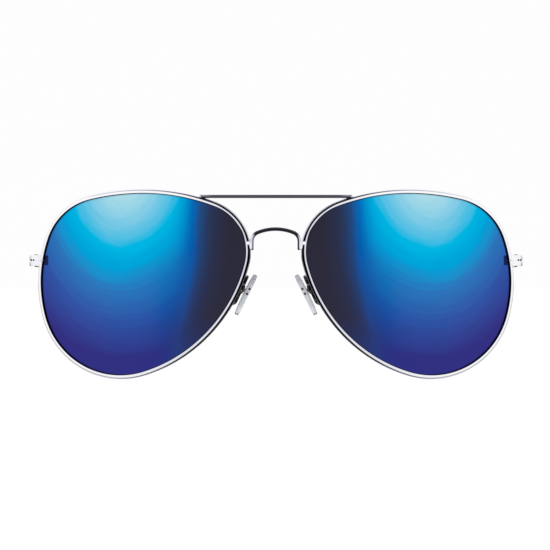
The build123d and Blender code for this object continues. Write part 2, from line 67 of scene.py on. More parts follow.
# ---- mesh building -------------------------------------------------------------------------------
def make_object(name, verts, faces, sharp=40.0):
    """A mesh object from millimetre points, smooth but for edges sharper than the angle given."""
    mesh = bpy.data.meshes.new(name)
    mesh.from_pydata([tuple(c * MM for c in v) for v in verts], [], faces)
    bm = bmesh.new()
    bm.from_mesh(mesh)
    bmesh.ops.remove_doubles(bm, verts=bm.verts, dist=1e-7)
    bmesh.ops.recalc_face_normals(bm, faces=bm.faces)
    for face in bm.faces:
        face.smooth = True
    for edge in bm.edges:
        if len(edge.link_faces) == 2 and edge.calc_face_angle(0) > radians(sharp):
            edge.smooth = False
    bm.to_mesh(mesh)
    bm.free()
    obj = bpy.data.objects.new(name, mesh)
    bpy.context.scene.collection.objects.link(obj)
    return obj


def skin(name, rings, closed=False, capped=True, sharp=40.0):
    """A surface through rings of points; closed joins the last ring to the first."""
    count = len(rings[0])
    verts = [p for ring in rings for p in ring]
    faces = []
    last = len(rings) if closed else len(rings) - 1
    for i in range(last):
        a, b = i * count, (i + 1) % len(rings) * count
        for k in range(count):
            n = (k + 1) % count
            faces.append((a + k, a + n, b + n, b + k))
    if capped and not closed:
        faces.append(tuple(reversed(range(count))))
        faces.append(tuple(range((len(rings) - 1) * count, len(rings) * count)))
    return make_object(name, verts, faces, sharp)


def mirrored(points, sign):
    return [Vector((sign * p[0], p[1], p[2])) for p in points]


def rounded_box(half_a, half_b, radius, steps=5):
    """Points of a rounded rectangle about the origin, as (a, b)."""
    radius = min(radius, half_a, half_b)
    out = []
    for corner, (sa, sb) in enumerate(((1, 1), (-1, 1), (-1, -1), (1, -1))):
        for i in range(steps + 1):
            t = (corner + i / steps) * pi / 2
            out.append((sa * (half_a - radius) + radius * cos(t), sb * (half_b - radius) + radius * sin(t)))
    return out


def circle(radius, count=20):
    return [(radius * cos(2 * pi * i / count), radius * sin(2 * pi * i / count)) for i in range(count)]


def sweep(path, sections, up):
    """Rings of each section set square to the path; up gives the section's second direction."""
    rings = []
    for i, point in enumerate(path):
        ahead = path[min(i + 1, len(path) - 1)]
        behind = path[max(i - 1, 0)]
        along = (ahead - behind).normalized()
        side = along.cross(up).normalized()
        top = side.cross(along).normalized()
        rings.append([point + side * a + top * b for a, b in sections[i]])
    return rings


def blob(name, centre, size, axis, power=2.0):
    """A bead of filler metal: a rounded spindle along axis, with size (across, along)."""
    axis = Vector(axis).normalized()
    up = Vector((0, 0, 1)) if abs(axis.z) < 0.9 else Vector((0, 1, 0))
    side = axis.cross(up).normalized()
    top = side.cross(axis).normalized()
    rings = []
    for i in range(11):
        t = -1 + 2 * i / 10
        width = size[0] * max(0.03, (1 - abs(t) ** power)) ** 0.5
        rings.append([
            Vector(centre) + axis * (t * size[1]) + side * (width * cos(a)) + top * (width * sin(a))
            for a in (2 * pi * k / 16 for k in range(16))
        ])
    return skin(name, rings)


# ---- lens geometry: u towards the temple, v up, depth behind the front surface -------------------
def lens_point(u, v, depth):
    w = -BASE_RADIUS + sqrt((BASE_RADIUS - depth) ** 2 - u * u - v * v)
    return LENS_ORIGIN + Vector((u * cos(WRAP) + w * sin(WRAP), u * sin(WRAP) - w * cos(WRAP), v))


def rim_arcs():
    """Centre, radius, start angle and turn of each tangent arc in the rim's centre line."""
    turns = [radians(turn) for turn in RIM_TURNS]
    headings = [pi + sum(turns[:i]) for i in range(len(turns))]
    steps = [
        (sin(heading + turn) - sin(heading), cos(heading) - cos(heading + turn))
        for heading, turn in zip(headings, turns)
    ]
    known = [(r, step) for r, step in zip(RIM_RADII, steps) if r is not None]
    (ax, ay), (bx, by) = [step for r, step in zip(RIM_RADII, steps) if r is None]
    gap_x = -sum(r * step[0] for r, step in known)
    gap_y = -sum(r * step[1] for r, step in known)
    determinant = ax * by - bx * ay
    closing = iter([(gap_x * by - bx * gap_y) / determinant, (ax * gap_y - gap_x * ay) / determinant])
    x, y = RIM_START
    arcs = []
    for radius, heading, turn, step in zip(RIM_RADII, headings, turns, steps):
        radius = next(closing) if radius is None else radius
        centre = (x - radius * sin(heading), y + radius * cos(heading))
        arcs.append((centre, radius, heading - pi / 2, turn))
        x, y = x + radius * step[0], y + radius * step[1]
    return arcs


ARCS = rim_arcs()
RIM_LENGTH = sum(radius * turn for _, radius, _, turn in ARCS)
TEMPLE_ARC = 4  # which of the arcs runs past the hinge


def arc_point(centre, radius, angle):
    """A place on an arc, and the direction outward from its centre."""
    outward = (cos(angle), sin(angle))
    return (centre[0] + radius * outward[0], centre[1] + radius * outward[1]), outward


def rim_at(s):
    """Point and outward normal of the rim's centre line at arc length s from its top."""
    s %= RIM_LENGTH
    for centre, radius, start, turn in ARCS:
        length = radius * turn
        if s <= length:
            return arc_point(centre, radius, start + s / radius)
        s -= length
    centre, radius, start, _ = ARCS[0]
    return arc_point(centre, radius, start)


def rim_crossing(v_wanted, low, high):
    """Arc length at which the centre line passes a height, between two arc lengths."""
    for _ in range(50):
        middle = (low + high) / 2
        if (rim_at(middle)[0][1] - v_wanted) * (rim_at(low)[0][1] - v_wanted) > 0:
            low = middle
        else:
            high = middle
    return (low + high) / 2


def rim_span(index):
    """Arc lengths at which an arc begins and ends."""
    lengths = [radius * turn for _, radius, _, turn in ARCS]
    return sum(lengths[:index]), sum(lengths[: index + 1])


def between(value, stops):
    """The value read off a line through (at, value) stops."""
    for (a, va), (b, vb) in zip(stops, stops[1:]):
        if value <= b:
            t = max(0.0, (value - a) / (b - a))
            return va + (vb - va) * t
    return stops[-1][1]


def ease(t):
    """From 0 to 1 as t does, slow at both ends."""
    t = min(1.0, max(0.0, t))
    return t * t * (3 - 2 * t)


def rim_profile():
    """The eyewire's section as (outward, depth), starting on its outer side and going over the front."""
    front, back = -RIM_PROUD, 1.9
    shoulder, edge = 0.32, 0.2
    out = []
    # a soft outer shoulder, the flat front and a crisper inner edge
    for i in range(13):
        angle = pi / 2 * i / 12
        out.append((RIM_HALF - shoulder + shoulder * cos(angle), front + shoulder - shoulder * sin(angle)))
    out += [(0.22 - 0.08 * i, front) for i in range(8)]
    for i in range(7):
        angle = pi / 2 * i / 6
        out.append((-RIM_HALF + edge - edge * sin(angle), front + edge - edge * cos(angle)))
    # the inner wall, with the groove that holds the lens
    out += [(-RIM_HALF, 0.1), (-RIM_HALF, 0.5), (-0.585, 0.56), (-0.2, 0.68), (-0.16, 0.74)]
    out += [(-0.16, 0.96), (-0.2, 1.02), (-0.585, 1.14), (-RIM_HALF, 1.2)]
    # round on to the back, and up the outer wall
    out += [(-RIM_HALF, 1.66), (-0.57, 1.77), (-0.47, 1.87), (-0.35, back)]
    out += [(0.2, back), (0.36, 1.88), (0.5, 1.8), (0.585, 1.67), (RIM_HALF, 1.5), (RIM_HALF, 0.9)]
    return out


# A painted reflection: one dark line is painted over the polished eyewire's face, and wanders as it turns
# round the lens.
# Directions are degrees: 0 faces the temple, 90 up, 180 the nose, 270 down. Places, widths and reaches
# are millimetres, and the darkness and the face's brightness run from 0 to 1.
LINE_PLACE = ((0, 0.15), (100, 0.2), (125, 0.1), (150, 0.15), (190, 0.25), (235, 0.35), (360, 0.15))
LINE_HALF_WIDTH = (
    (0, 0.05), (90, 0.06), (120, 0.2), (150, 0.2), (185, 0.3), (220, 0.2), (250, 0.1), (360, 0.05),
)
LINE_DARKNESS = ((0, 0.1), (70, 0.1), (105, 1.0), (240, 1.0), (280, 0.5), (360, 0.1))
LINE_SOFTNESS = 0.12
# painted reflection: the face beside the line is painted white, but greyer on the nose side
FACE = ((0, 1.0), (100, 1.0), (120, 0.78), (235, 0.78), (275, 1.0), (360, 1.0))
# a shadow lies along the inner edge beside the temple, and a thinner one at the upper and lower nose
SHADOW_REACH = (
    (0, 0.35), (40, 0.2), (75, 0.0), (145, 0.0), (155, 0.15),
    (175, 0.0), (200, 0.1), (260, 0.0), (310, 0.2), (360, 0.35),
)
FACE_DEPTH = 0.25  # the polished front ends this far behind the lens's surface
GROOVE_BACK = 1.3  # and this far behind it the inner wall has passed the groove
BRIDGE_BRAZE_V = 11.5


def front_painted_reflection(outward, heading):
    """How bright the painted reflection on the eyewire's polished front is, from 0 to 1, with its painted
    dark line and painted shadow.
    """
    off_line = abs(outward - between(heading, LINE_PLACE)) - between(heading, LINE_HALF_WIDTH)
    line = between(heading, LINE_DARKNESS) * (1 - ease(off_line / LINE_SOFTNESS))
    shadow = 1 - ease((outward + RIM_HALF - between(heading, SHADOW_REACH)) / LINE_SOFTNESS)
    return between(heading, FACE) * (1 - line) * (1 - shadow)


def rim_painted_reflection(outward, depth, nu, nv, v):
    """The painted brightness at a place on the eyewire: painted reflections and shade on its polished front,
    and duller walls and back.
    """
    heading = degrees(atan2(nv, nu)) % 360
    # painted reflection: away from the painted shadow the inner wall is painted as if it mirrored the lens
    open_edge = 1 - min(1.0, between(heading, SHADOW_REACH) / 0.1)
    inner = 0.03 + 0.3 * open_edge
    if depth > FACE_DEPTH:
        # painted shade on the outer wall at the lower nose side
        if outward > 0:
            wall = between(depth, ((FACE_DEPTH, 0.1), (0.9, 0.3), (1.6, 0.8)))
            return wall if nu < -0.2 and nv < 0.3 else 1.0
        return inner if depth < GROOVE_BACK else 0.85
    tone = front_painted_reflection(outward, heading)
    if nu < -0.9 and abs(v - BRIDGE_BRAZE_V) < 0.3 and outward > -0.2:
        tone = 1.0  # a painted highlight where the bridge's braze runs on to the eyewire
    # painted shade along the front's inner edge, lighter away from the painted shadow
    if outward < -0.55 and depth > -0.1:
        tone *= 0.2 + 0.6 * open_edge
    return tone


def add_tag(obj, name, values):
    """Per-vertex numbers for a material to read."""
    tag = obj.data.attributes.new(name, "FLOAT", "POINT")
    for item, value in zip(tag.data, values):
        item.value = value


def make_rim(side, sign):
    """The eyewire: one long section swept round the lens from the split at the closing block."""
    low, high = rim_span(TEMPLE_ARC)
    split = rim_crossing(HINGE_Z - LENS_ORIGIN.z, low, high)
    count = 420
    gap = 0.1
    rings, tones = [], []
    for i in range(count + 1):
        s = split + gap + (RIM_LENGTH - 2 * gap) * i / count
        (u, v), (nu, nv) = rim_at(s)
        ring = [lens_point(u + a * nu, v + a * nv, b) for a, b in rim_profile()]
        rings.append(mirrored(ring, sign))
        # the painted reflection and shade at each point, for the plate's material
        tones += [rim_painted_reflection(a, b, nu, nv, v) for a, b in rim_profile()]
    obj = skin(f"eyewire_{side}", rings, sharp=50)
    add_tag(obj, "tone", tones)
    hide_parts(f"rim_{side}")
    return obj


def make_lens(side, sign):
    """The lens: domed front and back, with a bevelled edge that sits in the eyewire's groove."""
    around, inner = 320, 30
    middle = 2.0  # u and v of the place that the rings close in on
    rings, edge_tags, back_tags = [], [], []
    stations = [rim_at(RIM_LENGTH * i / around) for i in range(around)]

    def ring(offset, depth, edge, back, scale=1.0):
        points = []
        for (u, v), (nu, nv) in stations:
            u = (u + offset * nu) * scale + middle * (1 - scale)
            v = (v + offset * nv) * scale + middle * (1 - scale)
            points.append(lens_point(u, v, depth))
            # the edge's shade is deepest beside the temple, slight at the top and nothing below
            side_weight = min(1.0, max(0.0, nu * 1.6)) + 0.35 * max(0.0, nv) ** 2 * (nu < 0.6)
            edge_tags.append(edge * min(1.0, side_weight) if edge < 1 else 1.0)
            back_tags.append(back)
        rings.append(points)

    flat = -1.25  # inside this the two faces are plain domes
    for k in range(inner):
        ring(flat, 0.0, 0.0, 0.0, (k + 1) / inner)
    for offset, depth, edge in (
        (-1.1, 0.0, 0.1), (-0.95, 0.0, 0.4), (-0.85, 0.0, 0.75), (-0.76, 0.0, 0.95), (-0.72, 0.012, 0.97),
        (-0.66, 0.05, 0.98), (-0.64, 0.5, 1.0), (-0.56, 0.6, 1.0), (-0.27, 0.68, 1.0), (-0.22, 0.74, 1.0),
    ):
        ring(offset, depth, edge, 0.0)
    for offset, depth in (
        (-0.22, 0.96), (-0.27, 1.02), (-0.56, 1.1), (-0.64, 1.2), (-0.66, 1.65), (-0.72, 1.69),
    ):
        ring(offset, depth, 1.0, 1.0)
    for k in reversed(range(inner)):
        ring(flat, LENS_THICKNESS, 0.0, 1.0, (k + 1) / inner)
    verts = [p for r in rings for p in mirrored(r, sign)]
    verts += mirrored([lens_point(middle, middle, depth) for depth in (0.0, LENS_THICKNESS)], sign)
    faces = []
    for i in range(len(rings) - 1):
        a, b = i * around, (i + 1) * around
        faces += [(a + k, a + (k + 1) % around, b + (k + 1) % around, b + k) for k in range(around)]
    last = (len(rings) - 1) * around
    faces += [(len(verts) - 2, (k + 1) % around, k) for k in range(around)]
    faces += [(len(verts) - 1, last + k, last + (k + 1) % around) for k in range(around)]
    obj = make_object(f"mirror_lens_{side}", verts, faces, sharp=50)
    add_tag(obj, "lens_edge_shade", edge_tags + [0.0, 0.0])
    add_tag(obj, "lens_back", back_tags + [0.0, 1.0])
    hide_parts(f"lens_{side}")
    return obj


# ---- brow bar, bridge ----------------------------------------------------------------------------
BROW_HALF_LENGTH, BROW_HALF_HEIGHT, BROW_HALF_DEPTH, BROW_SLANT = 21.6, 0.45, 0.85, 1.0


def make_brow_bar():
    """The flat brow bar, its ends cut on the slant above two feet that reach the eyewires."""
    count = 90
    section = rounded_box(BROW_HALF_DEPTH, BROW_HALF_HEIGHT, 0.26, steps=4)
    rings, tones = [], []
    for i in range(count + 1):
        t = -1 + 2 * i / count
        ring = []
        for a, b in section:
            drop = (BROW_HALF_HEIGHT - b) / (2 * BROW_HALF_HEIGHT)
            x = t * (BROW_HALF_LENGTH - BROW_SLANT * drop)
            ring.append(Vector((x, BROW_Y + a, BROW_Z + b)))
            # painted reflection: the polished bar is painted dark, with painted highlights along its top
            # towards the ends and on the upper ends, and painted shade on the lower ends
            tip = ease((abs(x) - 17.5) / 3.0)
            tones.append(0.085 + 0.03 * (b > 0.2) * abs(t) + tip * (0.22 * (b > -0.1) - 0.06 * (b < -0.1)))
        rings.append(ring)
    bar = skin("brow_bar_metal", rings, sharp=35)
    add_tag(bar, "tone", tones)
    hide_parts("brow_bar")
    feet = [
        blob(f"brow_braze_{side}", (sign * 20.6, BROW_Y + 0.1, BROW_Z - 0.55), (0.45, 0.95), (sign, 0, 0.30))
        for side, sign in SIDES
    ]
    # painted shade: the feet under the bar are painted near black
    for foot in feet:
        add_tag(foot, "tone", [0.02] * len(foot.data.vertices))
    return [bar] + feet


BRIDGE_SPAN, BRIDGE_FOOT, BRIDGE_TOP, BRIDGE_CROWN, BRIDGE_WIRE = 6.65, 36.4, 42.3, 13.5, 0.52
BRIDGE_ARCH = radians(22.0)  # half the angle of the shallow arch
BRIDGE_ASIDE = 0.12  # the bridge stands a little off the middle
# painted reflection: how bright the arch is painted up its height, from -1 below to 1 above
ARCH_PAINTED_REFLECTION = ((-1.0, 0.2), (-0.75, 0.1), (-0.5, 0.01), (0.0, 0.01), (0.3, 0.05), (1.0, 0.09))


def bridge_path():
    """The centre line of the lower bridge: two legs and a shallow arch."""
    corner = (BRIDGE_SPAN - BRIDGE_CROWN * sin(BRIDGE_ARCH)) / (1 - sin(BRIDGE_ARCH))
    centre_x = (BRIDGE_CROWN - corner) * sin(BRIDGE_ARCH)
    centre_z = BRIDGE_TOP - BRIDGE_CROWN + (BRIDGE_CROWN - corner) * cos(BRIDGE_ARCH)
    points = [(BRIDGE_SPAN, BRIDGE_FOOT + (centre_z - BRIDGE_FOOT) * k / 12) for k in range(12)]
    for k in range(17):
        angle = (pi / 2 - BRIDGE_ARCH) * k / 16
        points.append((centre_x + corner * cos(angle), centre_z + corner * sin(angle)))
    for k in range(1, 19):
        angle = pi / 2 - BRIDGE_ARCH + BRIDGE_ARCH * k / 18
        points.append((BRIDGE_CROWN * cos(angle), BRIDGE_TOP - BRIDGE_CROWN + BRIDGE_CROWN * sin(angle)))
    whole = points + [(-x, z) for x, z in reversed(points[:-1])]
    return [Vector((x - BRIDGE_ASIDE, BRIDGE_Y, z)) for x, z in whole]


def leg_painted_reflection(outward, inner):
    """How bright a leg's painted reflection is across its width, from -1 on the nose's side to 1."""
    stops = ((-1.0, 0.9), (-0.8, 0.08), (-0.6, inner), (-0.1, inner), (0.15, 0.9), (1.0, 1.0))
    return between(outward, stops)


def make_bridge():
    """The arched wire, its ends rounded off, and the bead that joins each leg to its eyewire."""
    path = bridge_path()
    around = 24
    sections = []
    for i in range(len(path)):
        ends = min(i, len(path) - 1 - i)
        sections.append(circle(BRIDGE_WIRE * (1 if ends > 2 else (0.72, 0.9, 0.98)[ends]), around))
    rings = sweep(path, sections, Vector((0, 1, 0)))
    tones = []
    for point, ring in zip(path, rings):
        leg = ease((abs(point.x) - 5.8) / 0.8)
        # painted reflection: one leg is painted grey, the other black; both are painted white towards the
        # eyewire
        inner = 0.25 if point.x < 0 else 0.01
        for p in ring:
            rise = (p - point).z / BRIDGE_WIRE
            outward = (abs(p.x) - abs(point.x)) / BRIDGE_WIRE
            arch = between(rise, ARCH_PAINTED_REFLECTION)
            tone = arch + (leg_painted_reflection(outward, inner) - arch) * leg
            # painted shade at the foot of each leg, on its inner side
            tones.append(0.01 if p.z < BRIDGE_FOOT + 0.35 and outward < 0.3 else tone)
    bridge = skin("bridge_wire", rings, sharp=60)
    add_tag(bridge, "tone", tones)
    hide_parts("bridge")
    pieces = [bridge]
    for side, sign in SIDES:
        spot = (sign * 7.2, BRIDGE_Y - 0.1, 37.5)
        bead = blob(f"bridge_braze_{side}", spot, (0.36, 1.0), (0.1 * sign, 0, 1))
        add_tag(bead, "tone", [0.9] * len(bead.data.vertices))
        pieces.append(bead)
    return pieces


# ---- end piece, temple and tip -------------------------------------------------------------------
def end_piece_section(half_height, thickness, groove):
    """(outward, up) round the strap's section, its outer face parted into two lobes by a groove."""
    out = []
    lobe = half_height / 2
    for middle in (-lobe, lobe):
        for i in range(9):
            angle = -pi / 2 + pi * i / 8
            bulge = 0.16 * cos(angle) ** 0.7 if abs(angle) < pi / 2 - 1e-6 else 0.0
            height = middle + lobe * sin(angle)
            sunk = groove if abs(height) < 0.02 else 0.0
            out.append((-0.16 + bulge - sunk, height))
    out += [(-thickness + 0.12, half_height), (-thickness, half_height - 0.12)]
    out += [(-thickness, -half_height + 0.12), (-thickness + 0.12, -half_height)]
    return out


def make_end_piece(side, sign):
    """The lug: out along the front of the rim, round the corner and back to the hinge."""
    start, turn, thick, half_height = 66.55, 1.5, 1.5, 1.56
    front, outer, back = VERTEX_Y + 8.6, HALF_WIDTH, BUTT_Y - 0.05
    path, facing = [], []
    for k in range(9):
        path.append((start + (outer - turn - start) * k / 8, front))
        facing.append((0, -1))
    for k in range(1, 12):
        angle = -pi / 2 + pi / 2 * k / 12
        path.append((outer - turn + turn * cos(angle), front + turn + turn * sin(angle)))
        facing.append((cos(angle), sin(angle)))
    for k in range(9):
        path.append((outer, front + turn + (back - front - turn) * k / 8))
        facing.append((1, 0))
    rings = []
    for i, ((x, y), (fx, fy)) in enumerate(zip(path, facing)):
        thinned = thick - (thick - STRAP_THICKNESS) * (i - 8) / 11
        thickness = thick if i < 9 else max(STRAP_THICKNESS, thinned)
        ring = [
            Vector((sign * (x + fx * a), y + fy * a, HINGE_Z + b))
            for a, b in end_piece_section(half_height, thickness, 0.04)
        ]
        rings.append(ring)
    lug = skin(f"lug_{side}", rings, sharp=48)
    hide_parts(f"end_piece_{side}")
    spot = (sign * 66.85, VERTEX_Y + 9.2, HINGE_Z)
    bead = blob(f"lug_braze_{side}", spot, (0.5, 1.45), (0, 0, 1), power=4)
    return [lug, bead]


EAR_RADIUS, EAR_ANGLE = 26.0, radians(41.0)
TIP_END = 2.6  # radius of the tip's round end
TEMPLE_BACK = 73.5
STRAP_HALF_HEIGHT, ARM_HALF_HEIGHT, MOUTH_HALF_HEIGHT = 1.5, 0.95, 1.5


def temple_route():
    """Y and Z where the bend starts and ends, and where the tip's round end is centred."""
    fall = EAR_RADIUS * (1 - cos(EAR_ANGLE))
    straight = (HINGE_Z - fall - TIP_END) / sin(EAR_ANGLE)
    end = (TEMPLE_BACK - TIP_END, TIP_END)
    after = (end[0] - straight * cos(EAR_ANGLE), end[1] + straight * sin(EAR_ANGLE))
    before = (after[0] - EAR_RADIUS * sin(EAR_ANGLE), HINGE_Z)
    return before, after, end


def tip_mouth():
    """Y of the tip's mouth, on the straight of the temple."""
    before, _, _ = temple_route()
    return before[0] - 12.0


def route_points(start_y, stop_short, step):
    """Points and headings along the temple's centre line from start_y back."""
    before, after, end = temple_route()
    out = []
    count = max(2, int((before[0] - start_y) / step))
    for k in range(count):
        out.append(((start_y + (before[0] - start_y) * k / count, HINGE_Z), 0.0))
    bend = max(8, int(EAR_RADIUS * EAR_ANGLE / step))
    for k in range(bend):
        a = EAR_ANGLE * k / bend
        out.append(((before[0] + EAR_RADIUS * sin(a), HINGE_Z - EAR_RADIUS * (1 - cos(a))), a))
    length = hypot(end[0] - after[0], end[1] - after[1]) - stop_short
    count = int(length / step)
    for k in range(count + 1):
        reach = length * k / count
        out.append(((after[0] + reach * cos(EAR_ANGLE), after[1] - reach * sin(EAR_ANGLE)), EAR_ANGLE))
    return out


def side_ring(place, heading, section, sign):
    """A section (across, up) square to the temple's centre line."""
    y, z = place
    return [
        Vector((sign * (STRAP_X + a), y + b * sin(heading), z + b * cos(heading)))
        for a, b in section
    ]


def make_temple(side, sign):
    """The strap: upright flat by the hinge, tapering to a slim arm that runs into the tip."""
    rings = []
    start = BUTT_Y + 0.4
    run = tip_mouth() + 1.2 - BUTT_Y - 0.4
    count = 90
    stations = [BUTT_Y, BUTT_Y + 0.12, start]
    stations += [start + run * (k + 1) / count for k in range(count)]
    for i, y in enumerate(stations):
        t = ease((y - VERTEX_Y - 17) / 34)
        half_height = STRAP_HALF_HEIGHT + (ARM_HALF_HEIGHT - STRAP_HALF_HEIGHT) * t
        half_width = STRAP_THICKNESS / 2
        shrink = (0.12, 0.03, 0.0)[i] if i < 3 else 0.0
        section = rounded_box(half_width - shrink, half_height - shrink, 0.25 + 0.1 * t, steps=5)
        rings.append(side_ring((y, HINGE_Z), 0.0, section, sign))
    strap = skin(f"temple_strap_{side}", rings, sharp=50)
    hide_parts(f"temple_{side}")
    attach(strap, f"temple_{side}")
    return strap


def make_tip(side, sign):
    """The moulded tip: a slim oval mouth, thickening over the ear and ending in a rounded paddle."""
    _, _, (end_y, end_z) = temple_route()
    stations = route_points(tip_mouth(), 0.0, 1.1)
    total = len(stations) - 1
    rings = []
    y0, z0 = stations[0][0]
    for inset, shrink in ((0.55, 0.42), (0.02, 0.40), (0.0, 0.22), (0.12, 0.06), (0.35, 0.0)):
        section = rounded_box(1.1 - 0.12 - shrink, MOUTH_HALF_HEIGHT - shrink, 1.0, steps=8)
        rings.append(side_ring((y0 + inset, z0), 0.0, section, sign))
    for i, (place, heading) in enumerate(stations[1:], start=1):
        t = i / total
        half_height = MOUTH_HALF_HEIGHT + (TIP_END - MOUTH_HALF_HEIGHT) * ease((t - 0.15) / 0.85)
        half_width = 0.98 + 0.12 * ease(t * 3) - 0.06 * ease((t - 0.7) / 0.3)
        section = rounded_box(half_width, half_height, min(half_width, 1.0), steps=8)
        rings.append(side_ring(place, heading, section, sign))
    for k in range(1, 13):
        a = pi / 2 * k / 12.4
        reach = TIP_END * sin(a)
        place = (end_y + reach * cos(EAR_ANGLE), end_z - reach * sin(EAR_ANGLE))
        width = 1.04 * cos(a) ** 0.45
        section = rounded_box(max(width, 0.12), max(TIP_END * cos(a), 0.1), 1.0, steps=8)
        rings.append(side_ring(place, EAR_ANGLE, section, sign))
    tip = skin(f"tip_sleeve_{side}", rings, sharp=60)
    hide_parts(f"temple_tip_{side}")
    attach(tip, f"temple_{side}")
    return tip


# ---- nose pads -----------------------------------------------------------------------------------
def pad_matrix():
    """Where the left pad stands, and how it leans."""
    tilted = Matrix.Translation(PAD_CENTRE) @ Matrix.Rotation(-PAD_TILT, 4, "Y")
    return tilted @ Matrix.Rotation(-PAD_SPLAY, 4, "Z")


def power(value, exponent):
    """A power that keeps the value's sign."""
    return (abs(value) ** exponent) * (1 if value >= 0 else -1)


def make_nose_pad(side, sign):
    """The clear pad: a long rounded plate, nearly flat on the nose side, with a round edge."""
    placed = pad_matrix()
    around, over = 72, 26
    half_length, half_depth, half_thick, back_swell = 6.3, 3.6, 0.7, 0.2
    rings = []
    for i in range(1, over):
        polar = pi * i / over
        radial = power(sin(polar), 0.22)
        height = power(cos(polar), 0.32)
        ring = []
        for k in range(around):
            t = 2 * pi * k / around
            y = half_depth * power(cos(t), 0.86) * radial
            z = half_length * power(sin(t), 0.92) * radial
            narrow = 1.0 - 0.10 * (z / half_length)
            # height is negative on the nose side, which is nearly flat; the back swells in the middle
            swell = back_swell * (1 - (z / half_length) ** 2) if height > 0 else 0.0
            x = (half_thick + swell) * height + 0.05
            ring.append(placed @ Vector((x, y * narrow * 0.95, z)))
        rings.append(mirrored(ring, sign))
    pad = skin(f"soft_pad_{side}", rings, sharp=80)
    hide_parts(f"nose_pad_{side}")
    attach(pad, f"nose_pad_{side}")
    return pad


# ---- materials -----------------------------------------------------------------------------------
class Graph:
    """A node tree with short calls for adding and joining its nodes."""

    def __init__(self, tree):
        self.tree = tree
        self.tree.nodes.clear()
        self.coords = self.add("TexCoord")

    def add(self, kind):
        return self.tree.nodes.new("ShaderNode" + kind)

    def put(self, socket, value):
        if isinstance(value, (int, float, tuple)):
            socket.default_value = value
        else:
            self.tree.links.new(value, socket)

    def math(self, kind, a, b=0.0, c=0.0):
        node = self.add("Math")
        node.operation = kind
        for socket, value in zip(node.inputs, (a, b, c)):
            self.put(socket, value)
        return node.outputs[0]

    def axes(self, vector):
        node = self.add("SeparateXYZ")
        self.put(node.inputs[0], vector)
        return node.outputs

    def noise(self, scale, detail=4.0, rough=0.5, stretch=(1, 1, 1), distortion=0.0):
        mapping = self.add("Mapping")
        mapping.inputs["Scale"].default_value = stretch
        self.put(mapping.inputs["Vector"], self.coords.outputs["Object"])
        node = self.add("TexNoise")
        self.put(node.inputs["Vector"], mapping.outputs[0])
        names = ("Scale", "Detail", "Roughness", "Distortion")
        for name, value in zip(names, (scale, detail, rough, distortion)):
            node.inputs[name].default_value = value
        return node.outputs["Fac"]

    def tag(self, name):
        node = self.add("Attribute")
        node.attribute_name = name
        return node.outputs["Fac"]

    def span(self, value, low, high, to_low=0.0, to_high=1.0, kind="LINEAR"):
        node = self.add("MapRange")
        node.interpolation_type = kind
        names = ("Value", "From Min", "From Max", "To Min", "To Max")
        for name, v in zip(names, (value, low, high, to_low, to_high)):
            self.put(node.inputs[name], v)
        return node.outputs[0]

    def ramp(self, value, stops):
        node = self.add("ValToRGB")
        elements = node.color_ramp.elements
        elements.remove(elements[-1])
        for i, (at, colour) in enumerate(stops):
            element = elements[0] if i == 0 else elements.new(at)
            element.position = at
            element.color = (*colour, 1.0)
        self.put(node.inputs[0], value)
        return node.outputs[0]

    def mix(self, factor, a, b, blend="MIX"):
        node = self.add("Mix")
        node.data_type = "RGBA"
        node.blend_type = blend
        self.put(node.inputs["Factor"], factor)
        for key, value in (("A", a), ("B", b)):
            socket = [s for s in node.inputs if s.name == key and s.type == "RGBA"][0]
            self.put(socket, (*value, 1.0) if isinstance(value, tuple) else value)
        return [s for s in node.outputs if s.type == "RGBA"][0]


class Paint(Graph):
    """A material round one Principled shader; its places are read off the object in metres."""

    def __init__(self, name):
        self.material = bpy.data.materials.new(name)
        self.material.use_nodes = True
        super().__init__(self.material.node_tree)
        self.output = self.add("OutputMaterial")
        self.shader = self.add("BsdfPrincipled")
        self.put(self.output.inputs["Surface"], self.shader.outputs[0])

    def set(self, **values):
        for key, value in values.items():
            self.put(self.shader.inputs[key.replace("_", " ")], value)

    def bump(self, height, strength, distance):
        node = self.add("Bump")
        node.inputs["Strength"].default_value = strength
        node.inputs["Distance"].default_value = distance
        self.put(node.inputs["Height"], height)
        self.put(self.shader.inputs["Normal"], node.outputs[0])


def greys(*stops):
    """Ramp stops of equal red, green and blue."""
    return tuple((at, (value, value, value)) for at, value in stops)


def dark_spot(m, across, height, inner, outer, front, back):
    """1 on a round spot placed in millimetres on both sides of the object, 0 around and behind it."""
    x, y, z = m.axes(m.coords.outputs["Object"])
    dx = m.math("SUBTRACT", m.math("MULTIPLY", m.math("ABSOLUTE", x), 1 / MM), across)
    dz = m.math("SUBTRACT", m.math("MULTIPLY", z, 1 / MM), height)
    reach = m.math("SQRT", m.math("MULTIPLY_ADD", dx, dx, m.math("MULTIPLY", dz, dz)))
    near = m.span(reach, inner, outer, 1.0, 0.0)
    return m.math("MULTIPLY", near, m.span(y, front * MM, back * MM, 1.0, 0.0))


